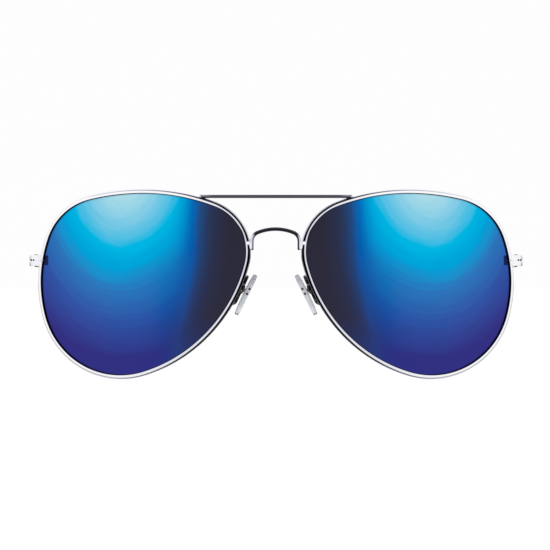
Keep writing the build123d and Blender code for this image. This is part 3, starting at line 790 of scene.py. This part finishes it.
def plated_metal(name, light, dark, smooth, rough, toned=False):
    """Polished plate: faint cloudiness, hairline polishing marks and a few dull specks."""
    m = Paint(name)
    cloud = m.noise(260.0, 5.0, 0.55)
    hair = m.noise(900.0, 3.0, 0.6, stretch=(0.25, 2.2, 1.0))
    speck = m.noise(3200.0, 2.0, 0.5)
    mottle = m.math("ADD", m.math("MULTIPLY", cloud, 0.6), m.math("MULTIPLY", hair, 0.4))
    colour = m.ramp(mottle, ((0.3, dark), (0.7, light)))
    if toned:
        # painted reflections and shade, from each piece's tone numbers, darken the plate
        tone = m.ramp(m.tag("tone"), (
            (0.0, (0.0, 0.0, 0.001)), (0.1, (0.092, 0.088, 0.12)), (0.3, (0.28, 0.28, 0.35)),
            (0.6, (0.57, 0.57, 0.66)), (0.8, (0.80, 0.80, 0.84)), (1.0, (1.0, 1.0, 1.0)),
        ))
        colour = m.mix(1.0, colour, tone, "MULTIPLY")
    m.set(Base_Color=colour, Metallic=1.0)
    worn = m.span(speck, 0.62, 0.75, 0.0, 0.05)
    marks = m.math("MULTIPLY_ADD", hair, 0.5, m.math("MULTIPLY", cloud, 0.5))
    gloss = m.span(marks, 0.3, 0.7, smooth, rough)
    m.set(Roughness=m.math("ADD", gloss, worn))
    m.bump(m.math("MULTIPLY_ADD", speck, 0.4, hair), 0.01, 0.00001)
    return m.material


# The flash coating's colours from the bright top down: pale, cyan, azure, blue, violet-blue, indigo; the run
# from cyan down is the coating's own colour, the pale top a painted reflection of a bright light above.
COATING = (
    (0.20, (0.42, 0.72, 0.81)), (0.46, (0.0, 0.47, 0.76)), (0.56, (0.0, 0.35, 0.68)),
    (0.67, (0.02, 0.18, 0.50)), (0.82, (0.025, 0.085, 0.37)), (1.00, (0.03, 0.03, 0.22)),
)
# They lie on half ellipses about a place above the lens, where the painted reflection centres: its u and v,
# and how far they reach each way.
GLOW_U, GLOW_V = 6.0, 36.5
REACH_TO_NOSE, REACH_TO_TEMPLE, REACH_DOWN = 29.0, 27.0, 42.5
LAST_LEVEL = 1.35
# Between these two u the nose side turns from a painted dark reflection through deep blue to the full
# colours.
NOSE_DARK, NOSE_CLEAR = -24.0, -4.0
# A painted shade where the closing block shows through beside the hinge: from and to, across the object and
# up the lens.
BLOCK_ACROSS, BLOCK_UP = (64.3, 65.75), (5.3, 8.25)


def lens_axes(m, sign):
    """Millimetres across the object, then u towards the temple and v up in the lens's own frame."""
    x, y, z = m.axes(m.coords.outputs["Object"])
    across = m.math("MULTIPLY", x, sign / MM)
    u = m.math(
        "ADD",
        m.math("MULTIPLY", m.math("SUBTRACT", across, LENS_ORIGIN.x), cos(WRAP)),
        m.math("MULTIPLY", m.math("SUBTRACT", m.math("MULTIPLY", y, 1 / MM), LENS_ORIGIN.y), sin(WRAP)),
    )
    v = m.math("SUBTRACT", m.math("MULTIPLY", z, 1 / MM), LENS_ORIGIN.z)
    return across, u, v


def coating_level(m, u, v):
    """How far down the run of colours a place lies, and the faint strokes that follow its curves."""
    drift = m.math("MULTIPLY", m.math("SUBTRACT", m.noise(45.0, 3.0, 0.5), 0.5), 1.6)
    du = m.math("ADD", m.math("SUBTRACT", u, GLOW_U), drift)
    to_temple = m.math("GREATER_THAN", du, 0.0)
    width = m.math("MULTIPLY_ADD", to_temple, REACH_TO_TEMPLE - REACH_TO_NOSE, REACH_TO_NOSE)
    eu = m.math("DIVIDE", du, width)
    ev = m.math("DIVIDE", m.math("SUBTRACT", GLOW_V, v), REACH_DOWN)
    level = m.math("SQRT", m.math("MULTIPLY_ADD", eu, eu, m.math("MULTIPLY", ev, ev)))
    polar = m.add("CombineXYZ")
    m.put(polar.inputs[0], m.math("MULTIPLY", level, 26.0))
    m.put(polar.inputs[1], m.math("MULTIPLY", m.math("ARCTAN2", eu, ev), 1.6))
    strokes = m.add("TexNoise")
    m.put(strokes.inputs["Vector"], polar.outputs[0])
    strokes.inputs["Scale"].default_value = 1.0
    strokes.inputs["Detail"].default_value = 5.0
    stroke = m.math("MULTIPLY", m.math("SUBTRACT", strokes.outputs["Fac"], 0.5), 0.11)
    return level, stroke


def lean_to_violet(m, colour, level, u, v):
    """More red in the blues towards the temple, less towards the nose."""
    red = m.ramp(m.span(u, -12.0, 28.0), greys(
        (0.0, 0.3), (0.15, 0.4), (0.23, 0.85), (0.3, 1.0), (0.5, 1.2), (0.65, 1.35), (1.0, 1.2),
    ))
    blues = m.math("MULTIPLY", m.span(level, 0.62, 0.80), m.span(v, -20.0, -8.0, 0.25, 1.0))
    tint = m.add("CombineXYZ")
    m.put(tint.inputs[0], m.math("MULTIPLY_ADD", m.math("SUBTRACT", red, 1.0), blues, 1.0))
    tint.inputs[1].default_value = 1.0
    tint.inputs[2].default_value = 1.0
    tinted = m.add("VectorMath")
    tinted.operation = "MULTIPLY"
    m.put(tinted.inputs[0], colour)
    m.put(tinted.inputs[1], tint.outputs[0])
    return tinted.outputs[0]


def darken_to_nose(m, colour, stroke, u, v):
    """First a deep blue and then the painted dark reflection at the nose, along a line that leans over lower
    down.
    """
    down = m.math("SUBTRACT", 10.0, v)
    bend = m.span(down, 4.0, 30.0, 0.0, 2.8, "SMOOTHSTEP")
    lean = m.math("MULTIPLY_ADD", m.math("MAXIMUM", down, 0.0), 0.055, bend)
    toward = m.math("SUBTRACT", m.math("ADD", u, m.math("MULTIPLY", stroke, 9.0)), lean)
    deep = m.ramp(m.span(v, -14.0, 24.0), (
        (0.0, (0.022, 0.045, 0.200)), (0.63, (0.0012, 0.107, 0.413)), (0.95, (0.001, 0.14, 0.48)),
    ))
    away = m.span(toward, NOSE_DARK, NOSE_CLEAR)
    clear = m.ramp(away, greys((0.5, 0.0), (0.6, 0.55), (0.7, 0.88), (0.82, 1.0)))
    colour = m.mix(clear, deep, colour)
    shade = m.ramp(m.span(v, -26.0, 26.0), (
        (0.0, (0.024, 0.035, 0.170)), (0.15, (0.0235, 0.034, 0.140)), (0.23, (0.0245, 0.030, 0.085)),
        (0.33, (0.027, 0.026, 0.047)), (1.0, (0.025, 0.023, 0.040)),
    ))
    lit = m.ramp(away, greys(
        (0.0, 0.0), (0.2, 0.07), (0.3, 0.18), (0.4, 0.42), (0.475, 0.85), (0.5, 1.0),
    ))
    return m.mix(lit, shade, colour)


def mirror_coating(name, sign):
    """The blue flash mirror: a painted pale cyan reflection at the top, falling through blue to indigo, with
    a painted dark reflection towards the nose.
    """
    m = Paint(name)
    across, u, v = lens_axes(m, sign)
    level, stroke = coating_level(m, u, v)
    colour = m.ramp(m.math("DIVIDE", m.math("ADD", level, stroke), LAST_LEVEL), COATING)
    colour = lean_to_violet(m, colour, level, u, v)
    colour = darken_to_nose(m, colour, stroke, u, v)
    # painted shade of the closing block, seen through the lens beside the hinge
    (left, right), (low, high) = BLOCK_ACROSS, BLOCK_UP
    beside = m.math("MULTIPLY", m.span(across, left, left + 0.3), m.span(across, right, right - 0.15))
    level_with = m.math("MULTIPLY", m.span(v, low, low + 0.2), m.span(v, high, high - 0.2))
    colour = m.mix(m.math("MULTIPLY", beside, level_with), colour, (0.012, 0.015, 0.075))
    edge, back = m.tag("lens_edge_shade"), m.tag("lens_back")
    # painted shade along the lens's edge: near black, bluer higher up
    colour = m.mix(edge, colour, m.mix(m.span(v, 14.0, 24.0), (0.002, 0.002, 0.006), (0.02, 0.03, 0.13)))
    colour = m.mix(back, colour, (0.012, 0.012, 0.016))
    m.set(Base_Color=colour, Metallic=m.math("SUBTRACT", 1.0, back))
    m.shader.inputs["IOR"].default_value = 1.5
    m.shader.inputs["Specular IOR Level"].default_value = 0.25
    m.set(Roughness=m.span(m.noise(2600.0, 2.0, 0.5), 0.45, 0.8, 0.035, 0.10))
    return m.material


# the metal core shows through the pad's front edge in two places: across the object, and up
CORE_SPOTS = ((7.46, 25.47), (8.20, 24.08))
# two painted dark reflections at the lug's corner, across the object
LUG_DARK_REFLECTIONS = (69.37, 68.72)


def clear_silicone(name):
    """Soft milky pads, a little see-through: satin, with faint moulding ripples."""
    m = Paint(name)
    x, _, z = m.axes(m.coords.outputs["Object"])
    # painted light and shade up the pad: a painted shade at the bottom end, a painted highlight, an even
    # milky body and a painted shade at the top end
    from_x = m.math("SUBTRACT", m.math("MULTIPLY", m.math("ABSOLUTE", x), 1 / MM), PAD_CENTRE.x)
    from_z = m.math("SUBTRACT", m.math("MULTIPLY", z, 1 / MM), PAD_CENTRE.z)
    up = m.math("MULTIPLY_ADD", from_z, cos(PAD_TILT), m.math("MULTIPLY", from_x, -sin(PAD_TILT)))
    ripple = m.math("MULTIPLY", m.math("SUBTRACT", m.noise(900.0, 3.0, 0.5), 0.5), 0.9)
    milk = m.ramp(m.span(m.math("ADD", up, ripple), -6.4, 6.4), (
        (0.00, (0.24, 0.24, 0.30)), (0.03, (0.28, 0.28, 0.34)), (0.06, (0.90, 0.91, 0.96)),
        (0.15, (0.96, 0.97, 1.0)), (0.24, (0.82, 0.86, 0.90)), (0.50, (0.78, 0.80, 0.85)),
        (0.75, (0.72, 0.73, 0.80)), (0.88, (0.54, 0.53, 0.61)), (0.94, (0.60, 0.60, 0.68)),
        (0.98, (0.33, 0.32, 0.38)),
    ))
    for across, height in CORE_SPOTS:
        spot = dark_spot(m, across, height, 0.26, 0.44, -65.5, -64.5)
        milk = m.mix(spot, milk, (0.02, 0.02, 0.025))
    m.set(Base_Color=milk)
    m.shader.inputs["Transmission Weight"].default_value = 0.22
    m.shader.inputs["IOR"].default_value = 1.41
    m.set(Roughness=m.span(m.noise(1500.0, 3.0, 0.5), 0.3, 0.7, 0.16, 0.30))
    m.bump(m.noise(700.0, 2.0, 0.5), 0.12, 0.00005)
    return m.material


def wire_painted_dark_reflection(name):
    """The pad arms: plated wire painted dark as a painted reflection of the face side, with paler warm
    patches.
    """
    m = Paint(name)
    patch = m.noise(650.0, 3.0, 0.6)
    plate = m.ramp(patch, (
        (0.48, (0.008, 0.008, 0.009)), (0.60, (0.06, 0.052, 0.045)), (0.72, (0.45, 0.42, 0.39)),
    ))
    m.set(Base_Color=plate, Metallic=1.0, Roughness=m.span(m.noise(1800.0, 3.0, 0.6), 0.3, 0.7, 0.10, 0.25))
    return m.material


def dotted_plate(name, light, dark):
    """Plate as on the frame, with the two painted dark reflections at the lug's corner."""
    m = Paint(name)
    cloud = m.noise(260.0, 5.0, 0.55)
    colour = m.ramp(cloud, ((0.3, dark), (0.7, light)))
    for across in LUG_DARK_REFLECTIONS:
        spot = dark_spot(m, across, HINGE_Z + 0.1, 0.2, 0.3, -63.0, -62.5)
        colour = m.mix(spot, colour, (0.008, 0.008, 0.012))
    m.set(Base_Color=colour, Metallic=1.0, Roughness=m.span(m.noise(900.0, 3.0, 0.6), 0.3, 0.7, 0.05, 0.10))
    return m.material


def black_plastic(name):
    """Gloss black plastic with faint swirl marks."""
    m = Paint(name)
    swirl = m.noise(120.0, 5.0, 0.6, distortion=1.2)
    m.set(Base_Color=m.ramp(swirl, ((0.35, (0.004, 0.004, 0.005)), (0.75, (0.011, 0.011, 0.013)))))
    m.set(Roughness=m.span(m.noise(1400.0, 4.0, 0.6, stretch=(1, 0.3, 1)), 0.3, 0.75, 0.16, 0.30))
    m.shader.inputs["IOR"].default_value = 1.45
    m.shader.inputs["Specular IOR Level"].default_value = 0.25
    m.bump(m.noise(900.0, 3.0, 0.5), 0.05, 0.00003)
    return m.material


def assign(obj, material):
    obj.data.materials.clear()
    obj.data.materials.append(material)


# ---- build ---------------------------------------------------------------------------------------
chrome = plated_metal("polished_plate", (0.93, 0.935, 0.955), (0.86, 0.865, 0.89), 0.04, 0.08)
chrome_painted_reflections = plated_metal("plate_painted_reflections", (0.99, 0.99, 1.0), (0.94, 0.94, 0.96), 0.04, 0.08, toned=True)
steel = plated_metal("turned_steel", (0.66, 0.67, 0.70), (0.48, 0.49, 0.52), 0.16, 0.30)
blued = plated_metal("blued_steel", (0.012, 0.012, 0.015), (0.005, 0.005, 0.007), 0.25, 0.40)
stamped = plated_metal("stamped_steel", (0.22, 0.22, 0.25), (0.12, 0.12, 0.14), 0.25, 0.40)
wire = wire_painted_dark_reflection("wire_painted_dark_reflection")
lug_plate = dotted_plate("lug_plate", (0.95, 0.95, 0.97), (0.86, 0.86, 0.90))
silicone = clear_silicone("clear_silicone")
plastic = black_plastic("gloss_black")


def place(obj, body, material, slot):
    """Give a piece its body and its material; the slot is not used."""
    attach(obj, body)
    assign(obj, material)


for obj in make_brow_bar() + make_bridge():
    place(obj, "front", chrome_painted_reflections, "frame_metal")
for side, sign in SIDES:
    place(make_rim(side, sign), "front", chrome_painted_reflections, "frame_metal")
    for obj in make_end_piece(side, sign):
        place(obj, "front", lug_plate, "frame_metal")
    place(make_lens(side, sign), "front", mirror_coating(f"mirror_coating_{side}", sign), "lens_mirror")
    place(make_temple(side, sign), f"temple_{side}", chrome, "frame_metal")
    place(make_tip(side, sign), f"temple_{side}", plastic, "tip_plastic")
    place(make_nose_pad(side, sign), f"nose_pad_{side}", silicone, "pad_silicone")
    for node in ("rim_lock_upper", "rim_lock_lower", "hinge_front_leaf", "hinge_temple_leaf"):
        assign(NODES[f"{node}_{side}"], chrome)
    for node in ("pad_arm", "pad_box"):
        assign(NODES[f"{node}_{side}"], wire)
    for node in ("rim_lock_screw", "pad_screw"):
        assign(NODES[f"{node}_{side}"], steel)
    assign(NODES[f"pad_core_{side}"], stamped)
    assign(NODES[f"hinge_screw_{side}"], blued)


# ---- studio --------------------------------------------------------------------------------------
scene = bpy.context.scene
BACKDROP = 0.985


def make_floor():
    """Pale paper, evenly bright; only in reflections does a painted shade darken it beneath and behind the
    glasses.
    """
    mesh = bpy.data.meshes.new("floor")
    mesh.from_pydata([(-4, -4, 0), (4, -4, 0), (4, 4, 0), (-4, 4, 0)], [], [(0, 1, 2, 3)])
    floor = bpy.data.objects.new("floor", mesh)
    scene.collection.objects.link(floor)
    m = Paint("floor_paper")
    m.set(Base_Color=(0.12, 0.12, 0.12, 1.0), Roughness=0.9)
    m.shader.inputs["Emission Color"].default_value = (1.0, 1.0, 1.0, 1.0)
    m.shader.inputs["Emission Strength"].default_value = 0.87
    y = m.axes(m.coords.outputs["Object"])[1]
    reflected = m.add("Emission")
    m.put(reflected.inputs["Strength"], m.span(y, -0.062, -0.071, 0.40, 1.0, "SMOOTHSTEP"))
    ray = m.add("LightPath")
    choose = m.add("MixShader")
    m.put(choose.inputs[0], ray.outputs["Is Glossy Ray"])
    m.put(choose.inputs[1], m.shader.outputs[0])
    m.put(choose.inputs[2], reflected.outputs[0])
    m.put(m.output.inputs["Surface"], choose.outputs[0])
    assign(floor, m.material)


def make_world():
    """A white studio: in reflections, bright in front, with grey walls to the sides and above."""
    world = bpy.data.worlds.new("studio")
    world.use_nodes = True
    scene.world = world
    g = Graph(world.node_tree)
    output, background = g.add("OutputWorld"), g.add("Background")
    x, y, z = g.axes(g.coords.outputs["Generated"])
    sideways = g.span(g.math("ABSOLUTE", x), 0.35, 0.85, kind="SMOOTHSTEP")
    walls = g.mix(sideways, (0.42, 0.42, 0.46), (0.78, 0.79, 0.84))
    colour = g.mix(g.span(y, 0.15, 0.55, kind="SMOOTHSTEP"), walls, (0.70, 0.71, 0.77))
    colour = g.mix(g.span(z, 0.05, 0.40, kind="SMOOTHSTEP"), colour, (0.95, 0.95, 0.97))
    colour = g.mix(g.span(y, -0.56, -0.25, kind="SMOOTHSTEP"), (1.0, 1.0, 1.0), colour)
    ray = g.add("LightPath")
    colour = g.mix(ray.outputs["Is Diffuse Ray"], colour, (1.0, 1.0, 1.0))
    clear = g.math("MAXIMUM", ray.outputs["Is Camera Ray"], ray.outputs["Is Transmission Ray"])
    colour = g.mix(clear, colour, (BACKDROP, BACKDROP, BACKDROP))
    g.put(background.inputs["Color"], colour)
    g.put(output.inputs[0], background.outputs[0])


make_floor()
make_world()


def soft_light(name, spot, aim, size, power):
    """A rectangular lamp that reflections do not show."""
    data = bpy.data.lights.new(name, "AREA")
    data.shape = "RECTANGLE"
    data.size, data.size_y = size
    data.energy = power
    obj = bpy.data.objects.new(name, data)
    scene.collection.objects.link(obj)
    obj.location = spot
    obj.rotation_euler = (Vector(aim) - Vector(spot)).to_track_quat("-Z", "Y").to_euler()
    obj.visible_glossy = False


soft_light("key", (-0.5, -0.5, 0.9), (0, -0.05, 0.03), (0.7, 0.5), 3.0)
soft_light("fill", (0.7, 0.2, 0.6), (0, 0, 0.03), (0.6, 0.6), 1.5)

# ---- camera --------------------------------------------------------------------------------------
SENSOR = 36.0
DISTANCE = 600.0  # millimetres, to a plane 1 mm in front of the lenses' middles
PICTURE_WIDTH = 153.45  # millimetres across the picture in that plane
CAMERA_HEIGHT = 29.27
# the object stands a little off the middle of the picture
OFF_ASIDE, OFF_UP = -0.279, 0.1395

camera_data = bpy.data.cameras.new("camera")
camera_data.sensor_width = SENSOR
camera_data.lens = SENSOR * DISTANCE / PICTURE_WIDTH
camera_data.shift_x = OFF_ASIDE / PICTURE_WIDTH
camera_data.shift_y = OFF_UP / PICTURE_WIDTH
camera_data.clip_start = 0.01
camera = bpy.data.objects.new("camera", camera_data)
scene.collection.objects.link(camera)
camera.location = (0.0, (VERTEX_Y - 1.0 - DISTANCE) * MM, CAMERA_HEIGHT * MM)
camera.rotation_euler = (pi / 2, 0, 0)
scene.camera = camera
scene.view_settings.view_transform = "Standard"
scene.view_settings.look = "None"
